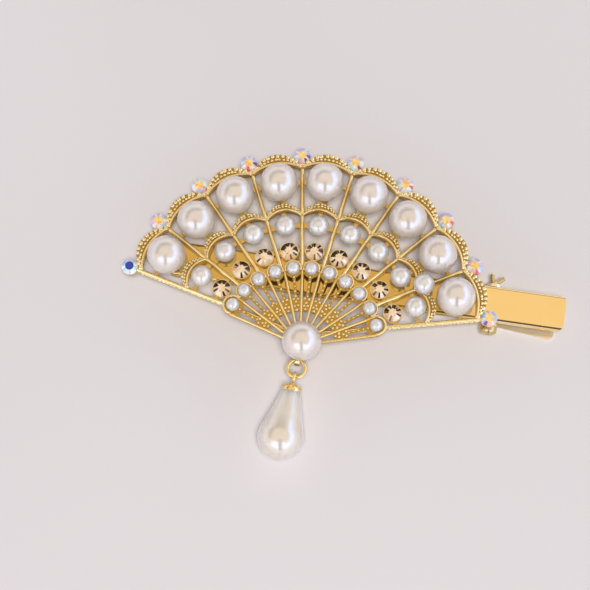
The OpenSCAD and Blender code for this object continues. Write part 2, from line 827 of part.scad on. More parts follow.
// Least distance between points of the spring that lie over half a turn apart, less its wire
spring_self_gap = min([for (i = [0:len(spring_path) - 1])
    for (j = [i + rings_per_turn / 2 + 1:1:len(spring_path) - 1])
        norm(spring_path[j] - spring_path[i])]) - spring_wire;
echo(spring_self_gap = spring_self_gap);

function unit(v) = v / norm(v);
function path_dir(p, i) = unit(p[min(i + 1, len(p) - 1)] - p[max(i - 1, 0)]);

// Round tube of six sides along a path whose rings keep one side along Y
module tube(path, d) {
    sides = 6;
    rings = len(path);
    points = [for (i = [0:rings - 1])
        let (dir = path_dir(path, i), side = unit([0, 1, 0] - dir * dir[1]), up = cross(dir, side))
        for (k = [0:sides - 1])
            path[i] + d / 2 * (cos(360 * k / sides) * side + sin(360 * k / sides) * up)];
    walls = [for (i = [0:rings - 2], k = [0:sides - 1])
        let (a = i * sides + k, b = i * sides + (k + 1) % sides)
        for (face = [[a, a + sides, b], [b, a + sides, b + sides]]) face];
    last = (rings - 1) * sides;
    ends = [for (k = [1:sides - 2])
        for (face = [[0, k, k + 1], [last, last + k + 1, last + k]]) face];
    polyhedron(points, concat(walls, ends));
}

module clip_spring() {
    color("silver")
        tube(spring_path, spring_wire);
}

// Jump ring lying flat through the eye
module jump_ring() {
    color(bright_gold)
        translate([0, ring_y, ring_z])
            rotate_extrude()
                translate([ring_r, 0])
                    circle(d = ring_wire, $fn = 24);
}

// Moves its children to the jump ring's middle, with the drop's lean, and turns Z to the drop's length
module along_drop() {
    translate([0, ring_y, ring_z])
        rotate(-drop_lean)
            rotate([90, 0, 0])
                children();
}

// Cap of the drop with its stem and the wire loop round the jump ring
module drop_cap() {
    dome_r = (cap_d * cap_d / 4 + cap_h * cap_h) / (2 * cap_h);
    color(bright_gold)
        along_drop() {
            translate([0, 0, loop_reach])
                rotate([0, 90, 0])
                    rotate_extrude()
                        translate([loop_r, 0])
                            circle(d = loop_wire, $fn = 24);
            translate([0, 0, loop_reach + loop_r])
                cylinder(d = loop_wire, h = stem_len - loop_r - cap_h / 2);
            intersection() {
                translate([0, 0, cap_y - cap_h + dome_r])
                    sphere(dome_r);
                translate([0, 0, cap_y - 2 * cap_h])
                    cylinder(d = cap_d, h = 2 * cap_h);
            }
        }
}

// Teardrop: a ball and the cone that touches it, cut flat under the cap
module drop_pearl() {
    ball_r = drop_d / 2;
    ball_z = drop_len - ball_r;
    neck_r = drop_neck_d / 2;
    reach = norm([ball_z, neck_r]);
    tilt = asin(ball_r / reach) - atan2(neck_r, ball_z);
    touch = [ball_r * cos(tilt), ball_z - ball_r * sin(tilt)];
    color(pearl_white)
        along_drop()
            translate([0, 0, cap_y])
                rotate_extrude()
                    intersection() {
                        union() {
                            translate([0, ball_z])
                                circle(ball_r);
                            polygon([[0, 0], [neck_r, 0], touch, [0, touch[1]]]);
                        }
                        square([ball_r, drop_len]);
                    }
}

fan_frame();
inner_fan();
pivot_pearl();
for (i = [0:len(large_names) - 1])
    large_pearl(i);
for (i = [0:len(medium_names) - 1])
    medium_pearl(i);
for (i = [0:len(small_names) - 1])
    small_pearl(i);
for (i = [0:len(rim_names) - 1])
    rim_stone(i);
for (i = [0:len(champagne_names) - 1])
    champagne_stone(i);
clip_upper_jaw();
clip_lower_jaw();
clip_pin();
clip_spring();
jump_ring();
drop_cap();
drop_pearl();
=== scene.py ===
import math
import random

import bmesh
import bpy
from mathutils import Matrix, Vector


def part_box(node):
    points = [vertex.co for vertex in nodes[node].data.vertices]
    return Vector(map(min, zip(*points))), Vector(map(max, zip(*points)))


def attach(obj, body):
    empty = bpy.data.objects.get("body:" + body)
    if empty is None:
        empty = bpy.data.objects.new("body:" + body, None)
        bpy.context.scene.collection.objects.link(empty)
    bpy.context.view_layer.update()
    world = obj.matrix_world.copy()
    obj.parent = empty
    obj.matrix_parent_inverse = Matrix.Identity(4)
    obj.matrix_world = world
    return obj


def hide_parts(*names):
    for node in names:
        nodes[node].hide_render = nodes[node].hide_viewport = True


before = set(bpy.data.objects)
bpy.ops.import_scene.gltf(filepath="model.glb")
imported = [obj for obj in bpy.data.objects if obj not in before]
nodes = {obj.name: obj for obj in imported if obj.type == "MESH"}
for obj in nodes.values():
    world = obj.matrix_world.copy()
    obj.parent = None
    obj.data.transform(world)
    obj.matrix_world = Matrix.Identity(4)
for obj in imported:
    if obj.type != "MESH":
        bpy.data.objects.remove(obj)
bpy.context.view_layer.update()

MM = 0.001

# Sizes shared with the solids, in millimetres, and pitches in degrees
FAN_OFFSET = 12.55
FAN_Z = 5.0
RIB_PITCH = 17.0
SECTORS = 9
RIB_D = 0.8
RIB_GAP = 0.4
BASE_T = 0.8
RIB_TOP = 1.5
TIER_CLEARANCE = 0.05
INNER_PITCH = 13.47
INNER_COUNT = 11
INNER_DROP = 2.45
INNER_Z = FAN_Z + RIB_TOP + TIER_CLEARANCE
INNER_BASE_T = 0.5
INNER_RIB_D = 0.55
WALL_H = 0.7
WALL_TOP = INNER_BASE_T + WALL_H
WEB_IN = 7.2
WEB_OUT = 10.0
HUB_R = 2.3
HALF = math.radians(RIB_PITCH / 2)
INNER_HALF = math.radians(INNER_PITCH / 2)
CUSP_INSET = 0.2

LARGE_D, LARGE_SIT = 8.0, 2.0
MEDIUM_D, MEDIUM_SIT = 4.4, 1.2
SMALL_D, SMALL_SIT = 2.75, 0.8
PIVOT_D, PIVOT_SIT = 8.0, 2.0
SMALL_GAP = 0.05
SMALL_WALL = 0.36
SMALL_PAIR_GAP = 0.2
RIM_STONE_D = 3.4
CHAMPAGNE_D = 3.6
GIRDLE_H = 0.35
CROWN_TOP = 1.09
TABLE_R = 0.9

RIM_GAP, RIM_BAND, RIM_DIP, RIM_H = 0.2, 2.3, 1.0, 1.5
RIM_STONE_REACH = 1.1
TIER_GAP, TIER_BAND, TIER_DIP, TIER_H = 0.27, 1.7, 1.2, 1.3

LARGE_ROW = (LARGE_D / 2 + RIB_D / 2 + RIB_GAP) / math.sin(HALF)
RIM_IN = LARGE_ROW + LARGE_D / 2 + RIM_GAP
RIM_OUT = RIM_IN + RIM_BAND
RIM_END = RIM_IN - RIM_DIP
RIM_STONE_R = RIM_END + RIM_STONE_REACH + RIM_STONE_D / 2
TIER_OUT = LARGE_ROW - LARGE_D / 2 - TIER_GAP
TIER_IN = TIER_OUT - TIER_BAND
TIER_END = TIER_IN - TIER_DIP
SMALL_OUT = SMALL_D / 2 + SMALL_GAP + SMALL_WALL
SMALL_ROW = (SMALL_OUT + SMALL_PAIR_GAP / 2) / math.sin(INNER_HALF)
END_RING_R = SMALL_ROW * math.sin(INNER_HALF) + INNER_RIB_D / 2

rng = random.Random(7)


def rib_angle(i):
    return math.radians(90 + RIB_PITCH * (SECTORS / 2 - i))


def sector_angle(i):
    return math.radians(90 + RIB_PITCH * ((SECTORS - 1) / 2 - i))


def inner_angle(i):
    return math.radians(90 + INNER_PITCH * ((INNER_COUNT - 1) / 2 - i))


def fan_point(angle, u, v, z):
    """Point at distance u along a ray of the fan and v across it, z above the fan's back."""
    c, s = math.cos(angle), math.sin(angle)
    return Vector((u * c - v * s, u * s + v * c - FAN_OFFSET, FAN_Z + z))


def inner_point(angle, u, v, z):
    """The same for the inner fan, z above its own back."""
    c, s = math.cos(angle), math.sin(angle)
    return Vector((u * c - v * s, u * s + v * c - FAN_OFFSET - INNER_DROP, INNER_Z + z))


# Camera at the photograph's place, with its turns in degrees and its shift in millimetres
PHOTO_PX = 590
FOCAL_PX = 1600.0
SENSOR = 36.0
CAMERA_TURN = (("X", -14.15), ("Y", -1.32), ("Z", -8.82))
CAMERA_SHIFT = Vector((1.38, -8.33, -328.24))


def set_camera():
    turn = Matrix.Identity(3)
    for axis, degrees in CAMERA_TURN:
        turn = turn @ Matrix.Rotation(math.radians(degrees), 3, axis)
    place = -(turn.transposed() @ CAMERA_SHIFT) + Vector((0, -FAN_OFFSET, FAN_Z))
    data = bpy.data.cameras.new("camera")
    data.sensor_width = SENSOR
    data.lens = FOCAL_PX / PHOTO_PX * SENSOR
    data.clip_start = 0.01
    camera = bpy.data.objects.new("camera", data)
    camera.matrix_world = Matrix.Translation(place * MM) @ turn.transposed().to_4x4()
    bpy.context.scene.collection.objects.link(camera)
    bpy.context.scene.camera = camera


# Material helpers
def material(name, **values):
    m = bpy.data.materials.new(name)
    m.use_nodes = True
    shader = m.node_tree.nodes["Principled BSDF"]
    for key, value in values.items():
        shader.inputs[key.replace("_", " ")].default_value = value
    return m, m.node_tree, shader


def add(tree, kind, **values):
    node = tree.nodes.new(kind)
    for key, value in values.items():
        if key in node.inputs:
            node.inputs[key].default_value = value
        else:
            setattr(node, key, value)
    return node


def object_coords(tree):
    return add(tree, "ShaderNodeTexCoord").outputs["Object"]


def ramp(tree, source, stops):
    node = add(tree, "ShaderNodeValToRGB")
    while len(node.color_ramp.elements) < len(stops):
        node.color_ramp.elements.new(0.5)
    for element, (place, colour) in zip(node.color_ramp.elements, stops):
        element.position = place
        element.color = (*colour, 1)
    tree.links.new(source, node.inputs["Fac"])
    return node.outputs["Color"]


def noise(tree, coords, scale, detail=2.0):
    node = add(tree, "ShaderNodeTexNoise", Scale=scale, Detail=detail)
    tree.links.new(coords, node.inputs["Vector"])
    return node.outputs["Fac"]


def span(tree, source, from_low, from_high, low, high):
    node = add(tree, "ShaderNodeMapRange")
    for key, value in (("From Min", from_low), ("From Max", from_high), ("To Min", low), ("To Max", high)):
        node.inputs[key].default_value = value
    tree.links.new(source, node.inputs["Value"])
    return node.outputs["Result"]


def rise(tree, source, low, high):
    """Runs from 0 at low to 1 at high."""
    return span(tree, source, low, high, 0.0, 1.0)


def calc(tree, operation, *values):
    """Does one step of arithmetic; each value is a socket or a number."""
    node = add(tree, "ShaderNodeMath", operation=operation)
    for socket, value in zip(node.inputs, values):
        if isinstance(value, bpy.types.NodeSocket):
            tree.links.new(value, socket)
        else:
            socket.default_value = value
    return node.outputs["Value"]


def mix(tree, factor, first, second):
    """Mixes two colours; each is a socket or a plain colour."""
    node = add(tree, "ShaderNodeMix", data_type="RGBA")
    for socket, value in ((node.inputs[0], factor), (node.inputs[6], first), (node.inputs[7], second)):
        if isinstance(value, bpy.types.NodeSocket):
            tree.links.new(value, socket)
        else:
            socket.default_value = value if isinstance(value, float) else (*value, 1)
    return node.outputs[2]


def bump(tree, shader, height, strength, distance):
    node = add(tree, "ShaderNodeBump", Strength=strength, Distance=distance)
    tree.links.new(height, node.inputs["Height"])
    tree.links.new(node.outputs["Normal"], shader.inputs["Normal"])


def rib_distance(tree, parts):
    """Distance in metres from the nearest rib of the fan, on its plane."""
    x = parts.outputs["X"]
    y = calc(tree, "ADD", parts.outputs["Y"], FAN_OFFSET * MM)
    square = calc(tree, "ADD", calc(tree, "MULTIPLY", x, x), calc(tree, "MULTIPLY", y, y))
    radius = calc(tree, "SQRT", square)
    pitch = math.radians(RIB_PITCH)
    turn = calc(tree, "SUBTRACT", calc(tree, "ARCTAN2", y, x), rib_angle(0))
    off = calc(tree, "PINGPONG", calc(tree, "DIVIDE", turn, pitch), 0.5)
    return calc(tree, "MULTIPLY", calc(tree, "MULTIPLY", off, pitch), radius)


# Metals: bands in millimetres where the granules sit on painted shade, and how much finer the bump is
SHADE_OFF_RIB = (0.45, 0.55)
SHADE_HEIGHT = (6.2, 6.28)
FINE_GRAIN = 4


def gold(name, dark, light, rough_low, rough_high, grain, bump_depth, deep=None, shaded_bed=None, metallic=0.86):
    """Plated metal whose tone and gloss drift; deep (colour, axis, from, to) is painted shade that darkens
    one side, and bed is painted shade on the scallops' tops between the granules, away from the ribs."""
    m, tree, shader = material(name, Metallic=metallic)
    coords = object_coords(tree)
    cloud = noise(tree, coords, grain, 3.0)
    tone = ramp(tree, cloud, [(0.3, dark), (0.7, light)])
    parts = add(tree, "ShaderNodeSeparateXYZ")
    tree.links.new(coords, parts.inputs["Vector"])
    # painted shade between the granules on the scallops' tops, away from the ribs
    if shaded_bed:
        off_rib = rise(tree, rib_distance(tree, parts), *[edge * MM for edge in SHADE_OFF_RIB])
        on_top = rise(tree, parts.outputs["Z"], *[edge * MM for edge in SHADE_HEIGHT])
        tone = mix(tree, calc(tree, "MULTIPLY", off_rib, on_top), tone, shaded_bed)
    # painted shade: darker towards the low end of one axis
    if deep:
        colour, axis, low, high = deep
        tone = mix(tree, rise(tree, parts.outputs[axis], low * MM, high * MM), colour, tone)
    tree.links.new(tone, shader.inputs["Base Color"])
    fine = noise(tree, coords, grain * FINE_GRAIN, 2.0)
    tree.links.new(span(tree, fine, 0.0, 1.0, rough_low, rough_high), shader.inputs["Roughness"])
    bump(tree, shader, fine, 0.4, bump_depth)
    return m


# Pearls: share of mirror in the nacre, and at a drop's narrow end
NACRE = 0.28
NECK_NACRE = 0.04


def pearl_material(name, warm, cool, deep, coat=1.0, neck=None):
    """Coated bead: a partly mirrored nacre over a soft body, with a faint drift of colour;
    neck (from, to) along Y fades the mirror towards the narrow end of a drop."""
    m, tree, shader = material(name, Metallic=NACRE)
    shader.inputs["Subsurface Weight"].default_value = 1.0
    shader.inputs["Subsurface Scale"].default_value = 0.008
    shader.inputs["Subsurface Radius"].default_value = (1.0, 0.9, 0.8)
    shader.inputs["Coat Weight"].default_value = coat
    shader.inputs["Coat IOR"].default_value = 1.6
    shader.inputs["Coat Roughness"].default_value = 0.08
    shader.inputs["Sheen Weight"].default_value = 0.22
    shader.inputs["Sheen Roughness"].default_value = 0.35
    shader.inputs["Sheen Tint"].default_value = (0.78, 0.80, 1.0, 1)
    coords = object_coords(tree)
    drift = noise(tree, coords, 160.0, 2.0)
    tree.links.new(ramp(tree, drift, [(0.3, deep), (0.5, warm), (0.7, cool)]), shader.inputs["Base Color"])
    fine = noise(tree, coords, 2600.0, 2.0)
    tree.links.new(span(tree, fine, 0.0, 1.0, 0.15, 0.22), shader.inputs["Roughness"])
    bump(tree, shader, fine, 0.05, 0.00002)
    if neck:
        parts = add(tree, "ShaderNodeSeparateXYZ")
        tree.links.new(coords, parts.inputs["Vector"])
        mirror = span(tree, parts.outputs["Y"], neck[0] * MM, neck[1] * MM, NACRE, NECK_NACRE)
        tree.links.new(mirror, shader.inputs["Metallic"])
    return m


def stone_material(name, stops, roughness):
    """Cut glass over foil: each facet takes its own tone, partly the stone's tint and partly painted
    reflection.
    """
    m, tree, shader = material(name, Roughness=roughness, Metallic=0.25)
    shader.inputs["Specular IOR Level"].default_value = 0.2
    shader.inputs["Coat Weight"].default_value = 0.6
    shader.inputs["Coat Roughness"].default_value = 0.02
    tone = add(tree, "ShaderNodeAttribute", attribute_name="facet")
    tree.links.new(ramp(tree, tone.outputs["Fac"], stops), shader.inputs["Base Color"])
    return m


# Painted shade on the frame: its deep colour darkens the low parts, and its bed colour darkens the
# scallops' tops between the granules.
FRAME_GOLD = gold("frame_gold", (0.89, 0.68, 0.29), (0.98, 0.80, 0.41), 0.10, 0.20, 700.0, 0.00004,
                  ((0.60, 0.41, 0.11), "Z", 5.75, 6.1), (0.42, 0.26, 0.04))
# Painted shade on the inner fan: its deep colour darkens the base under the wires and grains.
INNER_GOLD = gold("fine_gold", (0.86, 0.61, 0.22), (0.94, 0.72, 0.31), 0.10, 0.20, 900.0, 0.00003,
                  ((0.50, 0.32, 0.07), "Z", 7.08, 7.25))
# The granules' gold is a paler, lighter copy of the frame's: painted highlights on the beads and the
# notched edges.
BEAD_GOLD = gold("bead_gold", (0.92, 0.74, 0.35), (0.99, 0.87, 0.56), 0.08, 0.16, 1200.0, 0.00002)
GRAIN_GOLD = gold("grain_gold", (0.84, 0.62, 0.22), (0.95, 0.76, 0.36), 0.16, 0.26, 1200.0, 0.00002)
WIRE_GOLD = gold("wire_gold", (0.90, 0.68, 0.30), (0.98, 0.80, 0.43), 0.10, 0.18, 900.0, 0.00002)
# Painted shade on the clip: its deep colour darkens the plate below X of 31 to 36 mm, where it runs under
# the fan.
CLIP_GOLD = gold("clip_gold", (0.98, 0.75, 0.36), (0.99, 0.77, 0.38), 0.06, 0.10, 240.0, 0.000006,
                 ((0.68, 0.46, 0.13), "X", 31.0, 36.0), metallic=0.94)
# The lower jaw's pale, half-metallic gold is a painted reflection of the bright room that also lifts its
# top out of the upper jaw's shade.
LOWER_GOLD = gold("lower_gold", (0.92, 0.80, 0.58), (0.95, 0.85, 0.66), 0.10, 0.16, 240.0, 0.000006,
                  metallic=0.58)
PIN_GOLD = gold("pin_gold", (0.56, 0.42, 0.16), (0.70, 0.54, 0.24), 0.12, 0.20, 700.0, 0.00002)
RING_GOLD = gold("ring_gold", (0.84, 0.62, 0.24), (0.95, 0.74, 0.35), 0.10, 0.18, 700.0, 0.00002)
SPRING_STEEL = gold("spring_steel", (0.46, 0.45, 0.43), (0.60, 0.59, 0.56), 0.22, 0.35, 500.0, 0.00002)
# The medium and small pearls take lighter bodies than the large ones: painted light that lifts them among
# the gold around them.
PEARL = pearl_material("pearl", (0.73, 0.66, 0.60), (0.73, 0.67, 0.63), (0.72, 0.64, 0.57))
MEDIUM_PEARL = pearl_material("medium_pearl", (0.81, 0.75, 0.69), (0.81, 0.76, 0.72), (0.80, 0.73, 0.66))
SMALL_PEARL = pearl_material("small_pearl", (0.89, 0.83, 0.78), (0.89, 0.84, 0.81), (0.88, 0.81, 0.75))
DROP_PEARL = pearl_material("drop_cream", (0.75, 0.69, 0.62), (0.75, 0.70, 0.65), (0.74, 0.67, 0.58),
                            0.45, (-32.5, -29.5))
# In the stone ramps the near-whites are painted glints and the champagne ramp's near-black is painted dark
# reflection; the other tones are the stones' tint and coating.
AURORA = stone_material("aurora_stone", [
    (0.00, (0.93, 0.47, 0.12)), (0.08, (0.97, 0.66, 0.20)), (0.16, (0.96, 0.80, 0.36)),
    (0.24, (0.90, 0.56, 0.42)), (0.32, (0.86, 0.58, 0.66)), (0.38, (0.80, 0.14, 0.20)),
    (0.46, (0.26, 0.08, 0.36)), (0.54, (0.56, 0.52, 0.86)), (0.61, (0.01, 0.06, 0.42)),
    (0.69, (0.50, 0.70, 0.95)), (0.77, (0.60, 0.86, 0.88)), (0.84, (0.68, 0.86, 0.66)),
    (0.92, (0.84, 0.82, 0.86)), (1.00, (0.97, 0.97, 0.97))], 0.08)
CHAMPAGNE = stone_material("champagne_stone", [
    (0.0, (0.02, 0.012, 0.008)), (0.3, (0.26, 0.16, 0.11)), (0.6, (0.86, 0.58, 0.34)),
    (0.8, (0.93, 0.72, 0.48)), (1.0, (1.0, 0.90, 0.78))], 0.10)


# Mesh helpers: every piece is made in millimetres and stored in metres
def mesh_object(name, bm, mat, body, smooth=True):
    mesh = bpy.data.meshes.new(name)
    bmesh.ops.scale(bm, vec=(MM, MM, MM), verts=bm.verts)
    bmesh.ops.recalc_face_normals(bm, faces=bm.faces)
    for face in bm.faces:
        face.smooth = smooth
    bm.to_mesh(mesh)
    bm.free()
    mesh.materials.append(mat)
    obj = bpy.data.objects.new(name, mesh)
    bpy.context.scene.collection.objects.link(obj)
    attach(obj, body)
    return obj


def turned(radius, angle, z):
    return Vector((radius * math.cos(angle), radius * math.sin(angle), z))


ON_AXIS = 1e-6


def revolve(bm, profile, segments, place):
    """Adds a solid of revolution about Z; profile is (radius, height), with both ends on the axis."""
    rings = []
    for r, z in profile:
        count = segments if r > ON_AXIS else 1
        rings.append([bm.verts.new(place @ turned(r, 2 * math.pi * k / segments, z)) for k in range(count)])
    for a, b in zip(rings, rings[1:]):
        for k in range(segments):
            n = (k + 1) % segments
            corners = [a[k % len(a)], a[n % len(a)], b[n % len(b)], b[k % len(b)]]
            unique = list(dict.fromkeys(corners))
            if len(unique) > 2:
                bm.faces.new(unique)


def tube(bm, path, radius, sides=10):
    """Adds a round tube with closed ends along a path of points."""
    rings = []
    up = Vector((0, 0, 1))
    for i, p in enumerate(path):
        along = (path[min(i + 1, len(path) - 1)] - path[max(i - 1, 0)]).normalized()
        across = along.cross(up).normalized()
        over = across.cross(along)
        ring = []
        for k in range(sides):
            a = 2 * math.pi * k / sides
            ring.append(bm.verts.new(p + radius * (math.cos(a) * across + math.sin(a) * over)))
        rings.append(ring)
    for a, b in zip(rings, rings[1:]):
        for k in range(sides):
            n = (k + 1) % sides
            bm.faces.new((a[k], a[n], b[n], b[k]))
    bm.faces.new(rings[0])
    bm.faces.new(list(reversed(rings[-1])))


def bead(bm, centre, radius, flat=1.0):
    """Adds one granule; flat under 1 presses it along Z."""
    place = Matrix.Translation(centre) @ Matrix.Diagonal((radius, radius, radius * flat, 1))
    bmesh.ops.create_icosphere(bm, subdivisions=2, radius=1.0, matrix=place)


# Pearls: round beads with a flat back, one mesh for each place
PEARL_STEPS = 40
PEARL_SEGMENTS = 56


def pearl_profile(d, sit):
    r = d / 2
    low = math.asin(-sit / r)
    angles = [low + (math.pi / 2 - low) * k / PEARL_STEPS for k in range(PEARL_STEPS)]
    return [(0.0, 0.0)] + [(r * math.cos(a), sit + r * math.sin(a)) for a in angles] + [(0.0, sit + r)]


def node_centre(name):
    low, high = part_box(name)
    return Vector(((low.x + high.x) / 2, (low.y + high.y) / 2, low.z)) / MM


def make_pearl(name, d, sit, mat):
    bm = bmesh.new()
    revolve(bm, pearl_profile(d, sit), PEARL_SEGMENTS, Matrix.Translation(node_centre(name)))
    obj = mesh_object(name + "_bead", bm, mat, "fan")
    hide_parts(name)


def make_pearls():
    make_pearl("pivot_pearl", PIVOT_D, PIVOT_SIT, PEARL)
    for i in range(1, SECTORS + 1):
        make_pearl(f"large_pearl_{i}", LARGE_D, LARGE_SIT, PEARL)
    for i in range(1, SECTORS + 2):
        make_pearl(f"medium_pearl_{i}", MEDIUM_D, MEDIUM_SIT, MEDIUM_PEARL)
    for i in range(1, INNER_COUNT + 1):
        make_pearl(f"small_pearl_{i}", SMALL_D, SMALL_SIT, SMALL_PEARL)


# Stones: brilliants whose eight petals are parted by narrow rays, each stone turned on from the last
RAYS = 8
RAY_TIP = 0.36
RAY_HALF = math.radians(11.0)
RAY_EDGE_HALF = math.radians(8.0)
EDGE_SPREADS = (-RAY_EDGE_HALF, RAY_EDGE_HALF, math.pi / RAYS)
# Facets turned towards the back take darker tones with fewer glints: painted shade
BACK_FROM = 0.1
RIM_STONE_TURN = 0.7
CHAMPAGNE_TURN = 0.5


def make_stone(name, d, mat, tones, turn):
    bm = bmesh.new()
    tone = bm.faces.layers.float.new("facet")
    base = node_centre(name)
    r = d / 2

    def corner(radius, angle, z):
        return bm.verts.new(base + turned(radius, angle + turn, z))

    def pick(kind, angle):
        # facets at the back take the back lists: painted shade
        at_back = math.sin(angle + turn) > BACK_FROM
        return rng.choice(tones.get(kind + "_back", tones[kind]) if at_back else tones[kind])

    def facet(corners, value):
        bm.faces.new(corners)[tone] = value

    angles = [2 * math.pi * k / RAYS for k in range(RAYS)]
    tips = [corner(r * RAY_TIP, a, CROWN_TOP) for a in angles]
    inner_low = [corner(TABLE_R, a - RAY_HALF, CROWN_TOP) for a in angles]
    inner_high = [corner(TABLE_R, a + RAY_HALF, CROWN_TOP) for a in angles]
    edge = []
    for a in angles:
        for spread in EDGE_SPREADS:
            edge.append(corner(r, a + spread, GIRDLE_H))
    foot = [bm.verts.new((v.co.x, v.co.y, base.z)) for v in edge]
    middle = corner(0, 0, CROWN_TOP)
    for k in range(RAYS):
        n = (k + 1) % RAYS
        first = k * len(EDGE_SPREADS)
        out_low, out_high, out_mid, out_next = [edge[(first + j) % len(edge)] for j in range(4)]
        petal = [pick("crown", angles[k]), pick("crown", angles[k]), pick("crown", angles[n])]
        tip = pick("ray", angles[k])
        if tones["whole_petals"]:
            petal = petal[:1] * 3
            tip = rng.choice(tones["table"])
        facet((middle, tips[k], inner_high[k], inner_low[n], tips[n]), rng.choice(tones["table"]))
        facet((tips[k], inner_low[k], inner_high[k]), tip)
        facet((inner_low[k], out_low, out_high, inner_high[k]), pick("ray", angles[k]))
        facet((inner_high[k], out_high, out_mid), petal[0])
        facet((inner_high[k], out_mid, inner_low[n]), petal[1])
        facet((inner_low[n], out_mid, out_next), petal[2])
    for k in range(len(edge)):
        n = (k + 1) % len(edge)
        facet((edge[k], foot[k], foot[n], edge[n]), tones["girdle"])
    facet(foot, tones["girdle"])
    obj = mesh_object(name + "_cut", bm, mat, "fan", smooth=False)
    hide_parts(name)


def make_stones():
    """Each tone is a place on the ramp of the stone's material; the places near 1.0 are painted glints, the
    black places on the peach stones painted dark reflection, and the back lists painted shade.
    """
    warm = {"table": [0.02, 0.08, 0.12, 0.16], "ray": [0.24, 0.54, 0.92], "girdle": 0.92,
            "crown": [0.24, 0.32, 0.38, 0.46, 0.69, 0.77, 0.84, 0.92, 0.92, 1.0, 1.0, 1.0],
            "crown_back": [0.32, 0.54, 0.54, 0.69, 0.77, 0.92], "whole_petals": True}
    cold = {"table": [0.61], "ray": [0.69, 0.92], "girdle": 0.92,
            "crown": [0.77, 0.92, 1.0], "crown_back": [0.32, 0.54, 0.69, 0.92], "whole_petals": True}
    peach = {"table": [0.66, 0.74, 0.82, 0.88], "ray": [0.02, 0.3, 0.66, 0.8], "girdle": 0.3,
             "ray_back": [0.0, 0.0, 0.02, 0.05], "crown": [0.66, 0.74, 0.82, 0.88, 1.0],
             "crown_back": [0.0, 0.05, 0.3, 0.7, 0.82], "whole_petals": False}
    for i in range(1, SECTORS + 2):
        tones = cold if i == 1 else warm
        make_stone(f"rim_stone_{i}", RIM_STONE_D, AURORA, tones, i * RIM_STONE_TURN)
    for i in range(1, SECTORS + 1):
        turn = i * CHAMPAGNE_TURN
        make_stone(f"champagne_stone_{i}", CHAMPAGNE_D, CHAMPAGNE, peach, turn)


# Scallops: a round rail on the inner edge and rows of granules over the rest
def cusp_side(end):
    return end * math.sin(HALF) - RIB_D * CUSP_INSET


def arc_points(apex, end, count, trim=0.0):
    """Points (u, v) of the arc through a scallop's cusps and apex, from one cusp to the other."""
    bulge = apex - end * math.cos(HALF)
    side = cusp_side(end)
    r = (bulge * bulge + side * side) / (2 * bulge)
    sweep = math.asin(min(1.0, side / r))
    if bulge > side:
        sweep = math.pi - sweep
    sweep -= trim / r
    turns = [-sweep + 2 * sweep * k / (count - 1) for k in range(count)]
    return [(apex - r + r * math.cos(t), r * math.sin(t)) for t in turns]


def arc_length(points):
    return sum(math.dist(a, b) for a, b in zip(points, points[1:]))


RAIL_R = 0.29
RAIL_IN = 0.22
RAIL_LIFT = 0.38
RAIL_END = 0.1
RAIL_POINTS = 28
ROW_END = 0.15
BEAD_PITCH = 2.35
BEAD_FLAT = 0.9
BEAD_SLIP = 0.15
BEAD_STRAY = 0.06
BEAD_SIZES = (0.85, 1.1)
LINE_POINTS = 200

# Rows of granules, each as its apex, bead radius, lift and trim at the cusps
RIM_ROWS = [(RIM_OUT - 1.22, 0.34, 0.14, 1.0), (RIM_OUT - 0.42, 0.47, 0.06, 0.5)]
TIER_ROWS = [(TIER_OUT - 0.72, 0.31, 0.12, 1.0), (TIER_OUT - 0.16, 0.31, -0.05, 0.6)]


def make_scallops(name, inner, end, height, rows):
    rails = bmesh.new()
    grains = bmesh.new()
    for i in range(SECTORS):
        angle = sector_angle(i)
        arc = arc_points(inner + RAIL_IN, end + RAIL_END, RAIL_POINTS)
        tube(rails, [fan_point(angle, u, v, height + RAIL_LIFT) for u, v in arc], RAIL_R)
        for apex, bead_r, lift, trim in rows:
            line = arc_points(apex, end + ROW_END, LINE_POINTS, trim)
            count = max(3, round(arc_length(line) / (bead_r * BEAD_PITCH)))
            for k in range(count + 1):
                place = (LINE_POINTS - 1) * (k + rng.uniform(-BEAD_SLIP, BEAD_SLIP)) / count
                u, v = line[min(LINE_POINTS - 1, max(0, round(place)))]
                size = bead_r * rng.uniform(*BEAD_SIZES)
                spot = fan_point(angle, u + rng.uniform(-BEAD_STRAY, BEAD_STRAY), v, height + lift)
                bead(grains, spot, size, BEAD_FLAT)
    mesh_object(name + "_rails", rails, WIRE_GOLD, "fan")
    mesh_object(name + "_grains", grains, BEAD_GOLD, "fan")


# Inner fan: a round wire along its scalloped edge and granules down its sectors
WIRE_R = 0.18
WIRE_REACH = math.radians(106)
END_WIRE_START = math.radians(95)
END_WIRE_STOP = math.radians(100)
WIRE_POINTS = 26
END_WIRE_POINTS = 30
GRAIN_LIFT = 0.12
COLUMN_GRAINS = 5
COLUMN_START = 0.3
COLUMN_END = 0.1
WEB_ROWS = 4
WEB_ROW_START = 0.3
WEB_ROW_END = 0.2
COLUMN_STRAY = 0.05
COLUMN_SIZES = (0.24, 0.29)
WEB_STRAY = 0.15
WEB_SIZES = (0.27, 0.36)


def ring_path(angle, radius, start, stop, count):
    """Part of a circle round a small pearl; start and stop are turned from the pearl's own ray."""
    turns = [start + (stop - start) * k / (count - 1) for k in range(count)]
    ring = [(SMALL_ROW + radius * math.cos(t), radius * math.sin(t)) for t in turns]
    return [inner_point(angle, u, v, WALL_TOP) for u, v in ring]


def make_inner_wire():
    wire = bmesh.new()
    ring_r = SMALL_OUT - WIRE_R
    for i in range(1, INNER_COUNT - 1):
        tube(wire, ring_path(inner_angle(i), ring_r, -WIRE_REACH, WIRE_REACH, WIRE_POINTS), WIRE_R)
    end_r = END_RING_R - INNER_RIB_D / 2
    for i, side in ((0, 1), (INNER_COUNT - 1, -1)):
        start, stop = -side * END_WIRE_START, side * END_WIRE_STOP
        tube(wire, ring_path(inner_angle(i), end_r, start, stop, END_WIRE_POINTS), INNER_RIB_D / 2)
    mesh_object("inner_wire", wire, WIRE_GOLD, "fan")


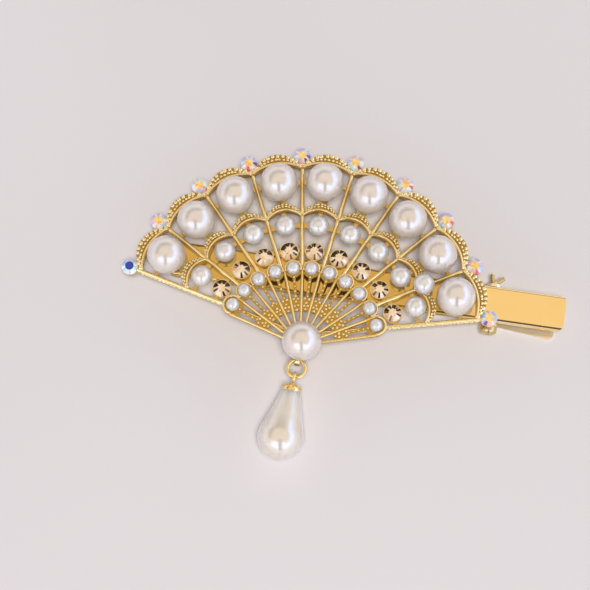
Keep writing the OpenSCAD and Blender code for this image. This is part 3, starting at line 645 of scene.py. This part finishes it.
def make_inner_grains():
    grains = bmesh.new()
    top = INNER_BASE_T + GRAIN_LIFT
    column_start = WEB_OUT + COLUMN_START
    column_end = SMALL_ROW - SMALL_OUT + COLUMN_END
    row_start = WEB_IN + WEB_ROW_START
    row_end = WEB_OUT - WEB_ROW_END
    for i in range(INNER_COUNT):
        angle = inner_angle(i)
        for k in range(COLUMN_GRAINS):
            u = column_start + (column_end - column_start) * k / (COLUMN_GRAINS - 1)
            spot = inner_point(angle, u, rng.uniform(-COLUMN_STRAY, COLUMN_STRAY), top)
            bead(grains, spot, rng.uniform(*COLUMN_SIZES))
        for k in range(WEB_ROWS):
            u = row_start + (row_end - row_start) * k / (WEB_ROWS - 1)
            room = 2 * u * math.tan(INNER_HALF) - INNER_RIB_D
            across = 1 if k % 2 == 0 else 2
            for j in range(across):
                v = (j - (across - 1) / 2) * room / 2
                size = rng.uniform(*WEB_SIZES)
                bead(grains, inner_point(angle, u + rng.uniform(-WEB_STRAY, WEB_STRAY), v, top), size)
    mesh_object("inner_grains", grains, GRAIN_GOLD, "fan")


# Notched strip along the outer side of the two side ribs
NOTCH_START = HUB_R + 2.2
NOTCH_END = RIM_STONE_R - RIM_STONE_D / 2 - 1.0
NOTCH_SIDE = RIB_D / 2 - 0.06
NOTCH_H = BASE_T + 0.16
NOTCH_TUBE_SIDES = 8
NOTCH_LENGTHS = (0.5, 1.3)
NOTCH_RADII = (0.20, 0.26)
NOTCH_GAPS = (0.05, 0.25)


def make_notched_edges():
    strip = bmesh.new()
    for i, side in ((0, 1), (SECTORS, -1)):
        angle = rib_angle(i)
        u = NOTCH_START
        while u < NOTCH_END:
            length = rng.uniform(*NOTCH_LENGTHS)
            start = fan_point(angle, u, side * NOTCH_SIDE, NOTCH_H)
            stop = fan_point(angle, u + length, side * NOTCH_SIDE, NOTCH_H)
            tube(strip, [start, start.lerp(stop, 0.5), stop], rng.uniform(*NOTCH_RADII), NOTCH_TUBE_SIDES)
            u += length + rng.uniform(*NOTCH_GAPS)
    mesh_object("notched_edges", strip, BEAD_GOLD, "fan")


# Drop: a smooth teardrop in place of the plain solid
DROP_LEAN = math.radians(-4)
EYE_Y = 5.2
EYE_Z = 0.2
RING_R = 1.8
RING_WIRE = 0.8
LOOP_R = 1.0
LOOP_WIRE = 0.6
LOOP_REACH = RING_R + (LOOP_R - LOOP_WIRE / 2 - RING_WIRE / 2) / 2
STEM_LEN = 2.1
DROP_BALL_R = 4.7
DROP_LEN = 15.2
DROP_NECK_R = 1.7
DROP_WAIST = 0.10
SIDE_STEPS = 24
BALL_STEPS = 40
BELL_SEGMENTS = 48
DROP_SEGMENTS = 64
BELL_PROFILE = [(0.0, -0.15), (1.8, -0.15), (1.92, 0.05), (1.97, 0.4), (1.97, 0.8), (1.92, 0.88),
                (1.84, 0.8), (1.78, 0.3), (0.0, 0.3)]


def make_drop():
    place = (Matrix.Translation((0, -FAN_OFFSET - EYE_Y - RING_R, FAN_Z + EYE_Z))
             @ Matrix.Rotation(DROP_LEAN, 4, "Z")
             @ Matrix.Rotation(math.radians(90), 4, "X")
             @ Matrix.Translation((0, 0, LOOP_REACH + STEM_LEN)))
    ball_z = DROP_LEN - DROP_BALL_R
    reach = math.hypot(ball_z, DROP_NECK_R)
    tilt = math.asin(DROP_BALL_R / reach) - math.atan2(DROP_NECK_R, ball_z)
    touch_z = ball_z - DROP_BALL_R * math.sin(tilt)
    touch_r = DROP_BALL_R * math.cos(tilt)
    profile = [(0.0, 0.0)]
    for k in range(SIDE_STEPS + 1):
        t = k / SIDE_STEPS
        waist = DROP_WAIST * math.sin(math.pi * t)
        profile.append((DROP_NECK_R + (touch_r - DROP_NECK_R) * t - waist, touch_z * t))
    for k in range(1, BALL_STEPS):
        a = -tilt + (math.pi / 2 + tilt) * k / BALL_STEPS
        profile.append((DROP_BALL_R * math.cos(a), ball_z + DROP_BALL_R * math.sin(a)))
    profile.append((0.0, DROP_LEN))
    bell = bmesh.new()
    revolve(bell, BELL_PROFILE, BELL_SEGMENTS, place)
    mesh_object("drop_bell", bell, RING_GOLD, "drop")
    bm = bmesh.new()
    revolve(bm, profile, DROP_SEGMENTS, place)
    obj = mesh_object("drop_pearl_smooth", bm, DROP_PEARL, "drop")
    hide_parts("drop_pearl")


# Finishes of the solids that show as they are
def finish_cad():
    finishes = {"fan_frame": FRAME_GOLD, "inner_fan": INNER_GOLD, "clip_upper_jaw": CLIP_GOLD,
                "clip_lower_jaw": LOWER_GOLD, "clip_pin": PIN_GOLD, "clip_spring": SPRING_STEEL,
                "jump_ring": RING_GOLD, "drop_cap": RING_GOLD}
    for name, m in finishes.items():
        mesh = nodes[name].data
        mesh.materials.clear()
        mesh.materials.append(m)


# Floor with a fine leather grain, just below the clip
FLOOR_HALF = 1.5
FLOOR_DROP = 0.00005
FLOOR_DARK = (0.735, 0.705, 0.72)
FLOOR_LIGHT = (0.765, 0.735, 0.755)


def make_stage():
    m, tree, shader = material("floor", Roughness=0.55)
    coords = object_coords(tree)
    tint = noise(tree, coords, 6.0, 2.0)
    tone = ramp(tree, tint, [(0.35, FLOOR_DARK), (0.65, FLOOR_LIGHT)])
    tree.links.new(tone, shader.inputs["Base Color"])
    grain = add(tree, "ShaderNodeTexVoronoi", Scale=900.0, feature="SMOOTH_F1")
    tree.links.new(coords, grain.inputs["Vector"])
    bump(tree, shader, grain.outputs["Distance"], 0.10, 0.0002)
    bm = bmesh.new()
    bmesh.ops.create_grid(bm, x_segments=1, y_segments=1, size=FLOOR_HALF)
    mesh = bpy.data.meshes.new("floor")
    bm.to_mesh(mesh)
    bm.free()
    mesh.materials.append(m)
    floor = bpy.data.objects.new("floor", mesh)
    floor.location.z = -FLOOR_DROP
    bpy.context.scene.collection.objects.link(floor)


# Light: a soft lamp overhead and pale walls; mirrors see the room's warm ceiling and its windows
WALL_FILL = (0.92, 0.96, 1.14)
CEILING_FILL = (0.06, 0.07, 0.10)
CEILING = (0.96, 0.78, 0.56)
WALL = (1.10, 1.08, 1.25)
BACK_STRIP = (0.18, 0.17, 0.17)
RIGHT_WINDOW = (1.3, 1.8, 3.0)
FRONT_WINDOW = (1.7, 2.0, 2.6)
WINDOW_POST = (0.05, 0.05, 0.06)
STRIP_SLANT = 0.9
POST_SLANT = 0.14
LAMP_COLOUR = (1.0, 0.94, 0.85)
LAMP_POWER = 41.0
LAMP_SIZE = 0.64
LAMP_PLACE = Vector((0.20, -0.52, 2.24))


def product(tree, *factors):
    """Multiplies number sockets."""
    total = factors[0]
    for factor in factors[1:]:
        total = calc(tree, "MULTIPLY", total, factor)
    return total


def make_room():
    """The edges of the room's patches are parts of a unit direction, from which each patch fades in."""
    world = bpy.data.worlds.new("room")
    bpy.context.scene.world = world
    world.use_nodes = True
    tree = world.node_tree
    direction = add(tree, "ShaderNodeTexCoord").outputs["Generated"]
    parts = add(tree, "ShaderNodeSeparateXYZ")
    tree.links.new(direction, parts.inputs["Vector"])
    x, y, z = parts.outputs["X"], parts.outputs["Y"], parts.outputs["Z"]
    room = mix(tree, rise(tree, z, 0.25, 0.45), WALL, CEILING)
    back_left = calc(tree, "SUBTRACT", y, calc(tree, "MULTIPLY", x, STRIP_SLANT))
    strip = product(tree, rise(tree, back_left, 0.42, 0.52), rise(tree, z, 0.46, 0.56),
                    rise(tree, z, 0.80, 0.70))
    room = mix(tree, strip, room, BACK_STRIP)
    right = product(tree, rise(tree, x, 0.42, 0.55), rise(tree, z, 0.72, 0.62), rise(tree, z, 0.24, 0.32))
    room = mix(tree, right, room, RIGHT_WINDOW)
    front = product(tree, rise(tree, y, -0.42, -0.52), rise(tree, z, 0.86, 0.80),
                    rise(tree, x, -0.68, -0.58), rise(tree, z, 0.32, 0.40))
    room = mix(tree, front, room, FRONT_WINDOW)
    aside = calc(tree, "ABSOLUTE", calc(tree, "ADD", x, calc(tree, "MULTIPLY", y, POST_SLANT)))
    post = product(tree, rise(tree, aside, 0.16, 0.10), rise(tree, y, -0.22, -0.30),
                   rise(tree, z, 0.18, 0.26))
    room = mix(tree, post, room, WINDOW_POST)
    rays = add(tree, "ShaderNodeLightPath")
    seen = calc(tree, "MAXIMUM", rays.outputs["Is Camera Ray"], rays.outputs["Is Glossy Ray"])
    seen = calc(tree, "MAXIMUM", seen, rays.outputs["Is Transmission Ray"])
    fill = mix(tree, rise(tree, z, 0.35, 0.60), WALL_FILL, CEILING_FILL)
    tree.links.new(mix(tree, seen, fill, room), tree.nodes["Background"].inputs["Color"])


def make_light():
    make_room()
    lamp = bpy.data.lights.new("lamp", "AREA")
    lamp.color = LAMP_COLOUR
    lamp.energy = LAMP_POWER
    lamp.size = LAMP_SIZE
    holder = bpy.data.objects.new("lamp", lamp)
    holder.location = LAMP_PLACE
    holder.rotation_euler = LAMP_PLACE.to_track_quat("Z", "Y").to_euler()
    holder.visible_glossy = False
    bpy.context.scene.collection.objects.link(holder)
    bpy.context.scene.view_settings.view_transform = "Standard"


set_camera()
finish_cad()
make_pearls()
make_stones()
make_scallops("rim", RIM_IN, RIM_END, RIM_H, RIM_ROWS)
make_scallops("tier", TIER_IN, TIER_END, TIER_H, TIER_ROWS)
make_inner_wire()
make_inner_grains()
make_notched_edges()
make_drop()
make_stage()
make_light()
